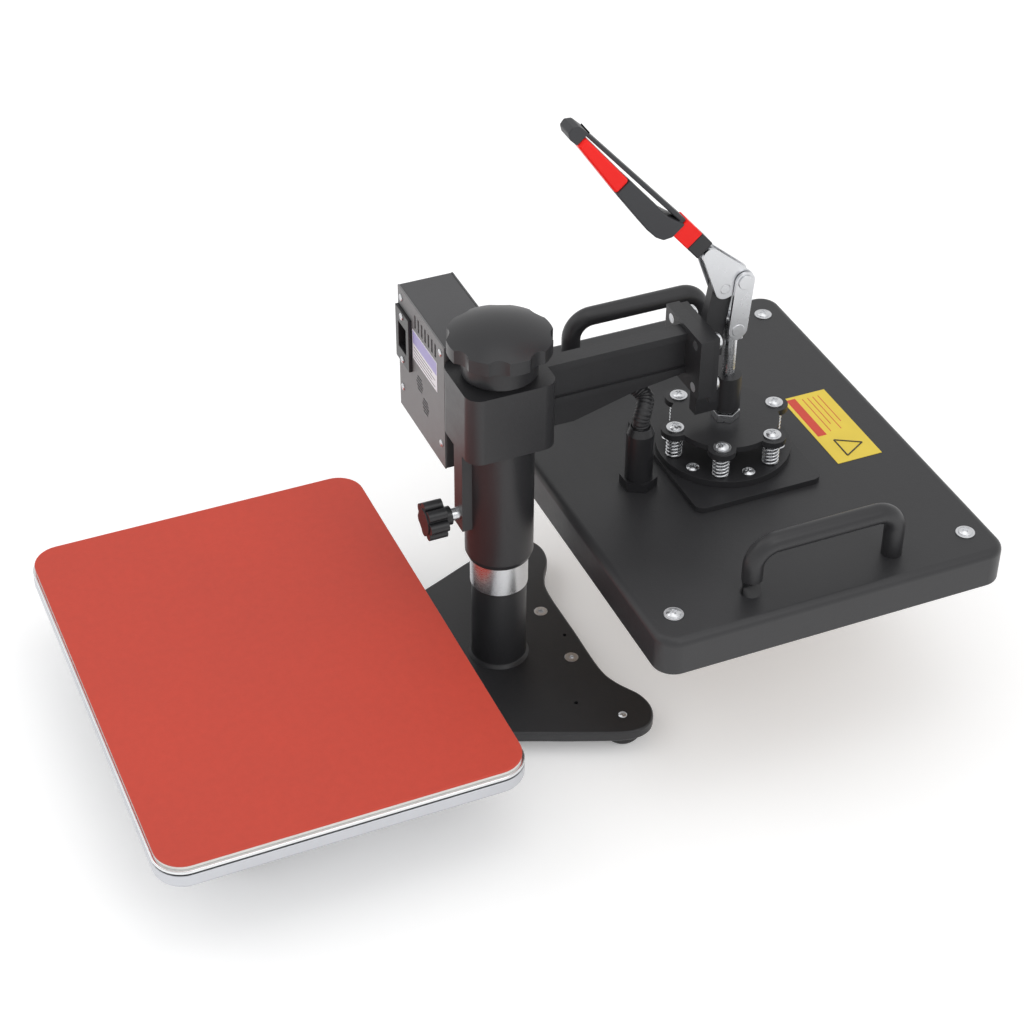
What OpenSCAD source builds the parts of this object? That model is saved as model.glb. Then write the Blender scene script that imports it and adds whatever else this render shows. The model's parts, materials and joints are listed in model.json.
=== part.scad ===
// Swing-away heat press: a base with a lower platen, a column, and an arm that carries a toggle
// clamp, a sprung heating platen and a control box. The arm is drawn swung to the back.

/* [Lower platen] */
// Width of the silicone pad, left to right
pad_w = 380; // [300:5:440]
// Depth of the silicone pad, front to back
pad_d = 280; // [230:5:330]
// Corner radius of the pad
pad_corner_r = 22; // [10:1:35]
// Thickness of the silicone pad
pad_t = 2.5; // [2:0.5:6]
// Thickness of the foam layer
foam_t = 3; // [2:0.5:8]
// Height of the tray's skirt
tray_h = 17.5; // [14:0.5:26]
// Margin of the tray round the pad
tray_margin = 2; // [1:0.5:5]

/* [Base] */
// Thickness of the base plate
base_t = 10; // [6:1:14]
// Height of the rubber feet
foot_h = 12; // [9:1:16]
// Radius of the rubber feet
foot_r = 14; // [10:1:18]
// Distance between the left and right feet
feet_gap_w = 218; // [200:2:280]
// Distance between the front and rear feet
feet_gap_d = 314; // [280:2:360]
// Height of the lower platen's stand
stand_h = 55.5; // [42:0.5:80]

/* [Column] */
// Radius of the painted post
post_r = 22; // [18:0.5:26]
// Height of the painted post above the ground
post_h = 98; // [85:1:110]
// Wall between the post's radius and the bright journal's radius
journal_step = 1; // [0.5:0.25:2]
// Length of the bright journal
journal_h = 152; // [140:1:170]
// Wall of the arm's sleeve outside its bushes
sleeve_wall = 2; // [2:0.25:5]
// Wall of the bronze bushes
bush_t = 1.95; // [1.5:0.05:3]
// Length of the bright journal that shows below the sleeve
journal_show = 28; // [27:1:40]

/* [Arm] */
// Distance from the column's axis to the near edge of the upper platen
column_gap = 47; // [44:1:90]
// How far the arm's head stands out past the sleeve, on each side
head_margin = 3; // [2:0.5:10]
// Height of the arm's head
head_h = 58; // [50:1:70]
// Thickness of the arm's web
web_t = 9; // [6:1:14]
// Width of the arm's top flange
flange_w = 14; // [12:1:24]

/* [Upper platen] */
// Width of the platen's cover
cover_w = 388; // [330:2:440]
// Depth of the platen's cover
cover_d = 294; // [250:2:340]
// Height of the platen's cover
cover_h = 32; // [26:1:45]
// Sheet thickness of the cover
cover_t = 2; // [1.5:0.5:3]
// Height of the cover's top above the ground
cover_top_z = 167; // [160:1:180]
// Distance of each handle from the cover's edge
handle_inset = 31; // [24:1:60]
// Length of a handle between its legs
handle_len = 120; // [90:2:160]
// Radius of the handle's bar
handle_r = 8; // [6:0.5:10]
// Height of the handle's bar above the cover
handle_rise = 42; // [36:1:60]

/* [Pressure head] */
// Radius of the circle of spring screws
spring_pcd_r = 44; // [38:1:50]
// Number of springs
spring_count = 6; // [4:1:8]
// Free height of the springs between the plates
spring_h = 20; // [16:1:28]
// Margin of the round plate outside the springs' circle
disc_margin = 10; // [9:0.5:16]
// Radius of the plunger
plunger_r = 5; // [4:0.25:5.5]

/* [Lever] */
// Radius at which the link pin turns about the fulcrum
crank_r = 16; // [13:0.5:20]
// Length of the lever's plastic grip
grip_len = 135; // [110:1:170]

/* [Control box] */
// Width of the control box
box_w = 96; // [90:1:130]
// Depth of the control box
box_d = 46; // [44:1:70]
// Height of the control box
box_h = 112; // [105:1:140]
// Sheet thickness of the control box
box_t = 1.5; // [1:0.25:2]

/* [Hidden] */
$fn = 64;

// Gaps: a shaft in its bore, and two flat or curved faces that slide past each other
run_gap = 0.05;
slip_gap = 0.3;

// Frame: the origin is at the middle of the footprint, on the ground
tray_w = pad_w + 2 * tray_margin;
tray_d = pad_d + 2 * tray_margin;
arm_reach = cover_d / 2 + column_gap;
column_y = (tray_d - cover_d) / 4;

// Base
base_top_z = foot_h + base_t;
foot_x = feet_gap_w / 2;
rear_foot_y = 60;
front_foot_y = rear_foot_y - feet_gap_d;
waist_half_w = 74;
flange_t = 6;
weld_leg = 3;
// Right half of the base plate's outline, rear to front, as [x, y]
base_edge = [[0, 67], [50, 67], [foot_x - 38, 72], [foot_x - 16, rear_foot_y + 24],
    [foot_x + 3, rear_foot_y + 25], [foot_x + 17, rear_foot_y + 15], [foot_x + 19, rear_foot_y - 4],
    [foot_x + 6, 20], [foot_x - 10, -18], [waist_half_w + 8, -62], [waist_half_w, -100],
    [waist_half_w + 4, -140], [foot_x - 18, front_foot_y + 69], [foot_x + 8, front_foot_y + 29],
    [foot_x + 23, front_foot_y + 9], [foot_x + 22, front_foot_y - 12],
    [foot_x + 6, front_foot_y - 24], [foot_x - 26, front_foot_y - 23], [0, front_foot_y - 22]];

// Lower platen, from the stand up
tray_top_z = base_top_z + stand_h + 3;
tray_low_z = tray_top_z - tray_h;
pad_low_z = tray_top_z + foam_t;

// Column
journal_r = post_r + journal_step;
post_neck_r = journal_r - 4;
post_bore_r = post_neck_r - 7;
journal_top_z = post_h + journal_h;
nut_flange_t = 3;
screw_r = 8;
screw_low_z = journal_top_z - 72;

// Arm: sleeve and head
bush_bore_r = journal_r + run_gap;
sleeve_bore_r = bush_bore_r + bush_t;
sleeve_r = sleeve_bore_r + sleeve_wall;
sleeve_low_z = post_h + journal_show;
bush_l = 24;
head_w = 2 * (sleeve_r + head_margin);
head_low_z = 238;
head_top_z = head_low_z + head_h;
head_front_y = -(sleeve_r + 9);
head_rear_y = sleeve_r + 9;
head_corner_r = 12;
roof_t = 11;
lock_z = 174;
lock_boss_y = -(sleeve_r + 7);
lock_r = 5;
lock_pad_l = 3.7;
lock_knob_y = lock_boss_y - 7;
knob_low_z = head_top_z + 3.2;
knob_screw_depth = 20;

// Arm: end plate and clamp
end_plate_t = 11;
end_plate_w = 60;
end_plate_low_z = 249;
clamp_plate_t = 6;
clamp_face_y = arm_reach - 25;
end_plate_y = clamp_face_y - clamp_plate_t - end_plate_t;
clamp_bolt_x = 20.5;
clamp_bolt_low_z = 255;
clamp_bolt_high_z = 293;
guide_r = 11;
guide_h = 31;

// Upper platen and its sprung plates, from the cover up
handle_x = cover_w / 2 - handle_inset;
disc_r = spring_pcd_r + disc_margin;
cover_low_z = cover_top_z - cover_h;
mount_plate_t = 5;
disc_t = 6;
star_t = 5;
disc_low_z = cover_top_z + mount_plate_t;
disc_top_z = disc_low_z + disc_t;
star_low_z = disc_top_z + spring_h;
star_top_z = star_low_z + star_t;
spring_screw_r = 3;
spring_wire_r = 1;
spring_coil_r = 5.7;
cover_screw_inset = 29.5;
heater_inset = 5;
heater_base_z = cover_low_z - 1.5;
heater_base_t = 14;
face_t = 1;
label_t = 0.3;

// Toggle: places in the plane across the machine, as [y, z], and angles at rest
guide_low_z = star_top_z + 10;
clevis_pin_z = guide_low_z + 77;
clevis_at = [arm_reach, clevis_pin_z];
fulcrum = [arm_reach - 12, clevis_pin_z + 38];
crank_angle = 17;
link_pin_at = fulcrum + crank_r * [cos(crank_angle), sin(crank_angle)];
lever_angle = 131;
grip_root = fulcrum + [-14, 32];
bar_half_t = 3;
fin_half_t = 4;
cheek_x = fin_half_t + 0.5;
cheek_t = 2.5;
link_x = cheek_x + cheek_t + 0.6;
link_t = 2.5;
fulcrum_r = 4;
link_pin_r = 3.5;
collar_u = 22;
grip_u = 42;
tang_u = 98;
grip_end_u = grip_u + grip_len;

// Control box: corner nearest the column, and the panels' faces
box_near_x = -head_w / 2;
box_mid_x = box_near_x - box_w / 2;
box_back_y = -32.5;
box_front_y = box_back_y + box_d;
box_low_z = 195;
inlet_at = [box_near_x - box_w + 15, box_low_z + 72];
inlet_screw_gap = 40;
button_gap = 15;
button_z = box_low_z + 62;
button_r = 4;
button_travel = 1;
display_z = box_low_z + 86;
rocker_at = [box_mid_x - 22, box_low_z + 26];
rocker_tilt = 12;

// Heater cable: centre line from the control box to the inside of the gland
cable_r = 7;
gland_at = [11, arm_reach - 80];
gland_h = 56;
gland_r = 11;
gland_top_z = cover_top_z + gland_h;
cable_out = [box_near_x - 20, box_front_y - 8, box_low_z + 27];
cable_route = [cable_out, cable_out + [0, 11, 0], [box_near_x - 12, box_front_y + 14, 226],
    [box_near_x + 4, 46, 238], [-17, 66, 251], [-14.5, 90, 255], [-12, 110, 251], [0, 121, 243],
    [9, arm_reach - 77, gland_top_z + 14], [gland_at[0], gland_at[1], gland_top_z + 6],
    [gland_at[0], gland_at[1], gland_top_z], [gland_at[0], gland_at[1], gland_top_z - 26]];

// ---- helpers ----

// Puts a part that is drawn from the column's axis into the part's frame
module framed() {
    translate([0, column_y, 0]) children();
}

// Block with rounded upright corners, centred on the origin, standing on z = 0
module rounded_block(w, d, h, r) {
    translate([-w / 2 + r, -d / 2, 0]) cube([w - 2 * r, d, h]);
    translate([-w / 2, -d / 2 + r, 0]) cube([w, d - 2 * r, h]);
    for (sx = [-1, 1], sy = [-1, 1])
        translate([sx * (w / 2 - r), sy * (d / 2 - r), 0]) cylinder(r = r, h = h);
}

module ring(outer, inner, h) {
    difference() {
        cylinder(r = outer, h = h);
        translate([0, 0, -1]) cylinder(r = inner, h = h + 2);
    }
}

// Draws its child at each foot
module at_feet() {
    for (x = [-feet_gap_w / 2, feet_gap_w / 2], y = [front_foot_y, rear_foot_y])
        translate([x, y, 0]) children();
}

// Draws its child at the countersunk screws of the post's flange
module at_base_screws() {
    for (x = [-31, 31], y = [-51, 51])
        translate([x, y, 0]) children();
}

// Draws its child at the screws that hold the lower platen's stand
module at_stand_screws() {
    for (x = [-31, 31], y = [-31, 31])
        translate([x, y - arm_reach, 0]) children();
}

// Flat shape in the plane across the machine, given as [y, z] points, from x0 with thickness t
module across(x0, t) {
    translate([x0, 0, 0]) rotate([90, 0, 90]) linear_extrude(t) children();
}

// Bar with round ends between two flat points
module bar_2d(a, b, r) {
    hull() {
        translate(a) circle(r = r, $fn = 48);
        translate(b) circle(r = r, $fn = 48);
    }
}

// Lever frame: the first axis runs out along the grip from its root
module lever_2d() {
    translate(grip_root) rotate(lever_angle) children();
}

module hex_prism(across_flats, h) {
    cylinder(r = across_flats / sqrt(3), h = h, $fn = 6);
}

// Cross recess cut from the top of a screw head
module cross_cut(size, depth) {
    for (a = [0, 90])
        rotate(a) translate([-size / 2, -size / 8, -depth]) cube([size, size / 4, depth + 1]);
}

module pan_screw(head_r, head_h, shank_r, shank_l) {
    difference() {
        intersection() {
            cylinder(r = head_r, h = head_h);
            translate([0, 0, head_h - 1.6 * head_r]) sphere(r = 1.6 * head_r);
        }
        translate([0, 0, head_h]) cross_cut(head_r * 1.1, head_h * 0.5);
    }
    translate([0, 0, -shank_l]) cylinder(r = shank_r, h = shank_l + 0.2);
}

// Smooth closed or open curve through a list of points, part t of the way from point b to c
function curve_at(a, b, c, d, t) = 0.5 * (2 * b + (c - a) * t + (2 * a - 5 * b + 4 * c - d) * t * t
    + (3 * b - a - 3 * c + d) * t * t * t);
function unit(v) = v / norm(v);

// ---- base ----

module base_outline() {
    loop = concat(base_edge,
        [for (i = [len(base_edge) - 2:-1:1]) [-base_edge[i][0], base_edge[i][1]]]);
    n = len(loop);
    steps = 6;
    polygon([for (i = [0:n - 1], k = [0:steps - 1])
        curve_at(loop[(i + n - 1) % n], loop[i], loop[(i + 1) % n], loop[(i + 2) % n], k / steps)]);
}

module base_plate() color([0.13, 0.13, 0.14]) {
    difference() {
        translate([0, 0, foot_h]) linear_extrude(base_t) base_outline();
        translate([0, 0, foot_h - 1]) cylinder(r = post_r, h = base_t + 2);
        at_feet() translate([0, 0, foot_h - 1]) cylinder(r = 2.2, h = base_t + 2);
        at_stand_screws() translate([0, 0, foot_h - 1]) cylinder(r = 4, h = base_t + 2);
        at_base_screws() {
            translate([0, 0, foot_h - 1]) cylinder(r = 3.2, h = base_t + 2);
            translate([0, 0, base_top_z - 3]) cylinder(r1 = 3.2, r2 = 5.9, h = 3.01);
        }
        for (at = [[4, 57], [foot_x - 27, 32], [27 - foot_x, 32]])
            translate([at[0], at[1], foot_h - 1]) cylinder(r = 1.6, h = base_t + 2);
    }
}

module rubber_feet() color([0.05, 0.05, 0.05]) {
    at_feet() difference() {
        intersection() {
            cylinder(r = foot_r, h = foot_h);
            translate([0, 0, foot_r]) sphere(r = foot_r * 1.22);
        }
        translate([0, 0, foot_h - 7]) cylinder(r = 2, h = 8);
    }
}

module foot_screws() color([0.75, 0.75, 0.77]) {
    at_feet() translate([0, 0, base_top_z]) pan_screw(3.6, 1.8, 2, base_t + 6);
}

module base_screws() color([0.75, 0.75, 0.77]) {
    at_base_screws() difference() {
        union() {
            translate([0, 0, base_top_z - 3]) cylinder(r1 = 3, r2 = 5.7, h = 3);
            translate([0, 0, foot_h - flange_t]) cylinder(r = 3, h = base_t + flange_t - 2);
        }
        translate([0, 0, base_top_z - 2]) cylinder(r = 2.1, h = 4, $fn = 6);
    }
    at_stand_screws() translate([0, 0, base_top_z + 8]) pan_screw(7, 4, 4, base_t + 8);
}

module post_flange() color([0.16, 0.16, 0.17]) {
    difference() {
        translate([0, 0, foot_h - flange_t]) rounded_block(92, 132, flange_t, 10);
        at_base_screws() translate([0, 0, foot_h - flange_t - 1]) cylinder(r = 3, h = flange_t + 2);
    }
}

module post_tube() color([0.12, 0.12, 0.13]) {
    difference() {
        union() {
            translate([0, 0, foot_h]) cylinder(r = post_r, h = post_h - foot_h);
            translate([0, 0, base_top_z])
                cylinder(r1 = post_r + weld_leg, r2 = post_r, h = weld_leg);
            translate([0, 0, post_h]) cylinder(r = post_neck_r, h = journal_h);
        }
        translate([0, 0, base_top_z]) cylinder(r = post_bore_r, h = journal_top_z);
    }
}

module journal_sleeve() color([0.78, 0.79, 0.80]) {
    translate([0, 0, post_h]) ring(journal_r, post_neck_r, journal_h);
}

module screw_nut() color([0.72, 0.58, 0.28]) {
    difference() {
        union() {
            translate([0, 0, journal_top_z]) cylinder(r = post_neck_r, h = nut_flange_t);
            translate([0, 0, journal_top_z - 14]) cylinder(r = post_bore_r, h = 15);
        }
        translate([0, 0, journal_top_z - 20]) cylinder(r = screw_r + run_gap, h = 40);
    }
}

// ---- lower platen ----

module tray_stand() color([0.14, 0.14, 0.15]) {
    translate([0, -arm_reach, base_top_z]) {
        difference() {
            rounded_block(92, 92, 8, 10);
            for (x = [-31, 31], y = [-31, 31])
                translate([x, y, -1]) cylinder(r = 4, h = 10);
        }
        translate([0, 0, 7]) cylinder(r = 21, h = stand_h - 14);
        translate([0, 0, stand_h - 8]) rounded_block(120, 120, 8, 12);
    }
}

module platen_tray() color([0.72, 0.73, 0.75]) {
    translate([0, -arm_reach, 0]) {
        difference() {
            translate([0, 0, tray_low_z])
                rounded_block(tray_w, tray_d, tray_h, pad_corner_r + tray_margin);
            translate([0, 0, tray_low_z - 1])
                rounded_block(tray_w - 6, tray_d - 6, tray_h - 2, pad_corner_r + tray_margin - 3);
        }
    }
}

module foam_layer() color([0.93, 0.92, 0.88]) {
    translate([0, -arm_reach, tray_top_z]) rounded_block(pad_w, pad_d, foam_t, pad_corner_r);
}

module silicone_pad() color([0.80, 0.28, 0.20]) {
    translate([0, -arm_reach, pad_low_z]) rounded_block(pad_w, pad_d, pad_t, pad_corner_r);
}

// ---- height adjustment ----

module thrust_washer() color([0.66, 0.66, 0.68]) {
    translate([0, 0, head_top_z + 0.2]) ring(22, screw_r + 0.5, 2.8);
}

module pressure_knob() color([0.13, 0.13, 0.14]) {
    rim_r = 40;
    rim_h = 11;
    rim_z = knob_low_z + 19.8;
    dome_h = 9;
    dome_r = 94;
    difference() {
        union() {
            translate([0, 0, knob_low_z]) cylinder(r = 29, h = 20);
            translate([0, 0, rim_z]) intersection() {
                cylinder(r = rim_r, h = rim_h + dome_h + 5);
                translate([0, 0, rim_h + dome_h - dome_r]) rotate([90, 0, 0])
                    sphere(r = dome_r, $fn = 96);
            }
        }
        for (i = [0:7])
            rotate(i * 45 + 22) translate([rim_r + 11, 0, rim_z - 1])
                cylinder(r = 14, h = rim_h + dome_h);
        translate([0, 0, knob_low_z - 1]) cylinder(r = screw_r, h = knob_screw_depth + 1);
    }
}

// Screw with the collar that carries the arm from under its roof
module lead_screw() color([0.70, 0.70, 0.72]) {
    translate([0, 0, screw_low_z])
        cylinder(r = screw_r, h = knob_low_z + knob_screw_depth - screw_low_z);
    translate([0, 0, head_top_z - roof_t - 4.2]) cylinder(r = 14, h = 4);
}

// ---- arm ----

module arm_web_outline() {
    polygon([[head_rear_y - 4, head_low_z], [60, 238], [82, 244], [112, 252], [end_plate_y + 1, 258],
        [end_plate_y + 1, head_top_z], [head_rear_y - 4, head_top_z]]);
}

module arm_solid() {
    head_d = head_rear_y - head_front_y;
    translate([0, (head_front_y + head_rear_y) / 2, head_low_z])
        rounded_block(head_w, head_d, head_h, head_corner_r);
    translate([0, 0, sleeve_low_z]) cylinder(r1 = sleeve_r - 2, r2 = sleeve_r, h = 5);
    translate([0, 0, sleeve_low_z + 4.9]) cylinder(r = sleeve_r, h = head_low_z - sleeve_low_z);
    translate([-8, lock_boss_y, lock_z - 13]) cube([16, 20, head_low_z - lock_z + 14]);
    across(-web_t / 2, web_t) arm_web_outline();
    translate([-flange_w / 2, head_rear_y - 4, head_top_z - 6])
        cube([flange_w, end_plate_y - head_rear_y + 5, 6]);
    translate([-flange_w / 2, head_rear_y - 4, 260])
        cube([flange_w, end_plate_y - head_rear_y + 5, 5]);
    translate([-end_plate_w / 2, end_plate_y, end_plate_low_z])
        cube([end_plate_w, end_plate_t, head_top_z + 4.5 - end_plate_low_z]);
}

module arm_casting() color([0.14, 0.14, 0.15]) {
    difference() {
        arm_solid();
        translate([0, 0, sleeve_low_z - 1])
            cylinder(r = sleeve_bore_r, h = head_top_z - roof_t - sleeve_low_z + 1);
        cylinder(r = screw_r + 0.5, h = head_top_z + 1);
        translate([0, 0, lock_z]) rotate([90, 0, 0]) cylinder(r = lock_r + run_gap, h = 60);
        for (x = [-clamp_bolt_x, clamp_bolt_x], z = [clamp_bolt_low_z, clamp_bolt_high_z])
            translate([x, end_plate_y - 1, z]) rotate([-90, 0, 0])
                cylinder(r = 4, h = end_plate_t + 2);
    }
}

module arm_bushes() color([0.70, 0.52, 0.30]) {
    for (z = [sleeve_low_z + 1, head_low_z - bush_l])
        translate([0, 0, z]) ring(sleeve_bore_r, bush_bore_r, bush_l);
}

// ---- lock screw ----

module lock_pad() color([0.76, 0.60, 0.30]) {
    translate([0, -journal_r - slip_gap, lock_z]) rotate([90, 0, 0])
        cylinder(r = lock_r, h = lock_pad_l);
}

module lock_screw() color([0.78, 0.78, 0.80]) {
    from_y = -journal_r - slip_gap - lock_pad_l - 0.2;
    translate([0, from_y, lock_z]) rotate([90, 0, 0])
        cylinder(r = lock_r, h = from_y - lock_knob_y + 20);
}

module lock_knob() color([0.08, 0.08, 0.09]) {
    translate([0, lock_knob_y, lock_z]) rotate([90, 0, 0]) difference() {
        union() {
            cylinder(r = 7.5, h = 6);
            translate([0, 0, 5]) cylinder(r = 10.5, h = 17);
            for (i = [0:6])
                rotate(i * 360 / 7) translate([11, 0, 6]) cylinder(r = 4.6, h = 15);
        }
        translate([0, 0, -1]) cylinder(r = lock_r, h = 21);
    }
}

// ---- toggle clamp ----

module clamp_fin_outline() {
    bar_2d([clamp_face_y + 7, clevis_pin_z - 2], fulcrum, 9);
    translate([clamp_face_y - 0.5, clevis_pin_z - 24]) square([16, 31]);
}

module clamp_frame() color([0.10, 0.10, 0.11]) {
    difference() {
        union() {
            translate([-28, clamp_face_y - clamp_plate_t, 242])
                cube([56, clamp_plate_t, head_top_z + 4 - 242]);
            across(-fin_half_t, 2 * fin_half_t) clamp_fin_outline();
            across(-5, 10) polygon([[clamp_face_y - clamp_plate_t + 1, guide_low_z + 2],
                [arm_reach - 7, guide_low_z + 2], [arm_reach - 7, guide_low_z + guide_h - 2],
                [clamp_face_y - 1, guide_low_z + guide_h + 20],
                [clamp_face_y - clamp_plate_t + 1, guide_low_z + guide_h + 20]]);
            translate([0, arm_reach, guide_low_z]) cylinder(r = guide_r, h = guide_h);
        }
        translate([0, arm_reach, guide_low_z - 1])
            cylinder(r = plunger_r + run_gap, h = guide_h + 2);
        translate([-20, fulcrum[0], fulcrum[1]]) rotate([0, 90, 0])
            cylinder(r = fulcrum_r, h = 40);
        for (x = [-clamp_bolt_x, clamp_bolt_x], z = [clamp_bolt_low_z, clamp_bolt_high_z])
            translate([x, clamp_face_y - clamp_plate_t - 1, z]) rotate([-90, 0, 0])
                cylinder(r = 4, h = clamp_plate_t + 2);
    }
}

module clamp_bolts() color([0.78, 0.78, 0.80]) {
    for (x = [-clamp_bolt_x, clamp_bolt_x], z = [clamp_bolt_low_z, clamp_bolt_high_z])
        translate([x, clamp_face_y, z]) rotate([-90, 0, 0]) {
            intersection() {
                cylinder(r = 6.8, h = 5);
                translate([0, 0, -4]) rotate([90, 0, 0]) sphere(r = 9);
            }
            translate([0, 0, -clamp_plate_t - end_plate_t]) cylinder(r = 4, h = 17.2);
        }
}

module fulcrum_pin() color([0.75, 0.76, 0.78]) {
    outer_x = cheek_x + cheek_t + 0.2;
    translate([-outer_x, fulcrum[0], fulcrum[1]]) rotate([0, 90, 0])
        cylinder(r = fulcrum_r, h = 2 * outer_x);
}

// Cheek of the lever: a plate that joins the fulcrum, the link pin and the root of the grip
module lever_cheek() {
    hull() {
        translate(fulcrum) circle(r = 8.5, $fn = 48);
        translate(link_pin_at) circle(r = 8.5, $fn = 48);
        translate(grip_root) circle(r = 6.5, $fn = 48);
    }
}

module lever_bar() color([0.78, 0.79, 0.80]) {
    difference() {
        union() {
            for (x = [-cheek_x - cheek_t, cheek_x])
                across(x, cheek_t) lever_cheek();
            across(-cheek_x - 1, 2 * cheek_x + 2) lever_2d()
                translate([-16, -5.5]) square([19, 11]);
            across(-bar_half_t, 2 * bar_half_t) lever_2d() {
                translate([0, -6]) square([grip_u, 12]);
                translate([grip_u - 2, 2]) square([tang_u - grip_u + 2, 4]);
            }
        }
        translate([-10, fulcrum[0], fulcrum[1]]) rotate([0, 90, 0])
            cylinder(r = fulcrum_r + run_gap, h = 20);
        translate([-10, link_pin_at[0], link_pin_at[1]]) rotate([0, 90, 0])
            cylinder(r = link_pin_r + run_gap, h = 20);
    }
}

// Sleeve round the lever bar, from one place along it to another
module bar_sleeve(from, to, half_w, half_t) {
    difference() {
        across(-half_t, 2 * half_t) lever_2d() translate([from, -half_w])
            square([to - from, 2 * half_w]);
        across(-bar_half_t, 2 * bar_half_t) lever_2d() translate([from - 1, -6])
            square([to - from + 2, 12]);
    }
}

module lever_ferrule() color([0.09, 0.09, 0.10]) {
    bar_sleeve(8, collar_u, 8, 7);
}

module lever_collar() color([0.90, 0.12, 0.10]) {
    bar_sleeve(collar_u, grip_u, 8, 7);
}

module grip_body() color([0.14, 0.15, 0.16]) {
    cap_u = grip_end_u - 14;
    difference() {
        union() {
            across(-9, 18) lever_2d()
                polygon([[grip_u, -4], [grip_u, 9], [46, 15], [53, 17.4], [64, 17.8],
                    [tang_u + 10, 14], [tang_u + 10, 0.5], [60, 0.5], [51, -1.5]]);
            across(-6, 12) lever_2d()
                polygon([[grip_u, -7], [grip_u, -3], [cap_u, -1], [cap_u, -3.8]]);
            across(-8, 16) lever_2d()
                polygon([[cap_u, 8], [cap_u, -4], [cap_u + 10, -3], [grip_end_u, 1],
                    [grip_end_u - 1, 6], [grip_end_u - 6, 8.5]]);
        }
        across(-bar_half_t, 2 * bar_half_t) lever_2d() translate([grip_u - 1, 2])
            square([tang_u - grip_u + 1, 4]);
    }
}

module grip_shell() color([0.90, 0.12, 0.10]) {
    across(-9, 18) lever_2d()
        polygon([[tang_u + 10, 14], [grip_end_u - 14, 8], [grip_end_u - 14, -0.2],
            [tang_u + 10, 0.5]]);
}

module link_plates() color([0.80, 0.81, 0.82]) {
    for (x = [-link_x - link_t, link_x])
        difference() {
            across(x, link_t) bar_2d(link_pin_at, clevis_at, 8);
            translate([x - 1, link_pin_at[0], link_pin_at[1]]) rotate([0, 90, 0])
                cylinder(r = link_pin_r, h = link_t + 2);
        }
    for (x = [-link_x - link_t - 0.6, link_x + link_t])
        translate([x, clevis_at[0], clevis_at[1]]) rotate([0, 90, 0]) cylinder(r = 5, h = 0.6);
}

// Two stub rivets, one through each cheek, so that nothing crosses the fin
module link_pin() color([0.72, 0.74, 0.76]) {
    outer_x = link_x + link_t;
    inner_x = fin_half_t + 0.6;
    translate([0, link_pin_at[0], link_pin_at[1]]) rotate([0, 90, 0])
        for (s = [0, 1]) mirror([0, 0, s]) {
            translate([0, 0, inner_x]) cylinder(r = link_pin_r, h = outer_x - inner_x);
            translate([0, 0, outer_x]) cylinder(r = 6, h = 1.2);
        }
}

module plunger_rod() color([0.82, 0.83, 0.84]) {
    eye_half_w = link_x - 0.4;
    translate([0, arm_reach, star_low_z - 9])
        cylinder(r = plunger_r, h = clevis_pin_z - star_low_z);
    intersection() {
        across(-eye_half_w, 2 * eye_half_w) {
            translate([arm_reach - 7, clevis_pin_z - 11]) square([14, 11]);
            translate(clevis_at) circle(r = 7);
        }
        translate([0, arm_reach, clevis_pin_z - 12]) cylinder(r = 9, h = 30);
    }
}

module plunger_nuts() color([0.76, 0.77, 0.79]) {
    for (z = [star_top_z, star_low_z - 7])
        translate([0, arm_reach, z]) difference() {
            hex_prism(20, 7);
            translate([0, 0, -1]) cylinder(r = plunger_r, h = 9);
        }
}

// ---- sprung plates ----

module at_springs() {
    for (i = [0:spring_count - 1])
        translate([0, arm_reach, 0]) rotate(i * 360 / spring_count + 90)
            translate([spring_pcd_r, 0, 0]) children();
}

module star_plate() color([0.12, 0.12, 0.13]) {
    difference() {
        union() {
            translate([0, arm_reach, star_low_z]) cylinder(r = spring_pcd_r - 1, h = star_t);
            at_springs() translate([0, 0, star_low_z]) {
                cylinder(r = 11, h = star_t);
                translate([-22, -11, 0]) cube([22, 22, star_t]);
            }
        }
        at_springs() translate([0, 0, star_low_z - 1]) cylinder(r = spring_screw_r + 0.5, h = 9);
        translate([0, arm_reach, star_low_z - 1]) cylinder(r = plunger_r, h = 9);
    }
}

module spring_screws() color([0.80, 0.81, 0.82]) {
    at_springs() {
        translate([0, 0, star_top_z + 0.1]) ring(7, spring_screw_r, 1.2);
        translate([0, 0, star_top_z + 1.3])
            pan_screw(5, 2.4, spring_screw_r, spring_h + star_t + 5);
    }
}

// Ring of points round a centre line, in the plane given by two unit vectors
function ring_points(c, u, v, r, sides) =
    [for (k = [0:sides - 1]) c + r * (cos(k * 360 / sides) * u + sin(k * 360 / sides) * v)];

// Side and end faces of a tube of n rings
function tube_faces(n, sides) = concat(
    [for (i = [0:n - 2], k = [0:sides - 1])
        [i * sides + k, i * sides + (k + 1) % sides, (i + 1) * sides + (k + 1) % sides,
            (i + 1) * sides + k]],
    [[for (k = [sides - 1:-1:0]) k]], [[for (k = [0:sides - 1]) (n - 1) * sides + k]]);

module spring_coil(turns, steps, sides) {
    rise = spring_h - 2 * spring_wire_r - 0.4;
    n = turns * steps + 1;
    points = [for (i = [0:n - 1]) let (a = i * 360 / steps)
        each ring_points([spring_coil_r * cos(a), spring_coil_r * sin(a), rise * i / (n - 1)],
            [cos(a), sin(a), 0], [0, 0, 1], spring_wire_r, sides)];
    polyhedron(points, [for (f = tube_faces(n, sides)) [for (k = [len(f) - 1:-1:0]) f[k]]]);
}

module platen_springs() color([0.80, 0.81, 0.82]) {
    at_springs() translate([0, 0, disc_top_z + spring_wire_r + 0.2]) spring_coil(5, 10, 5);
}

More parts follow.
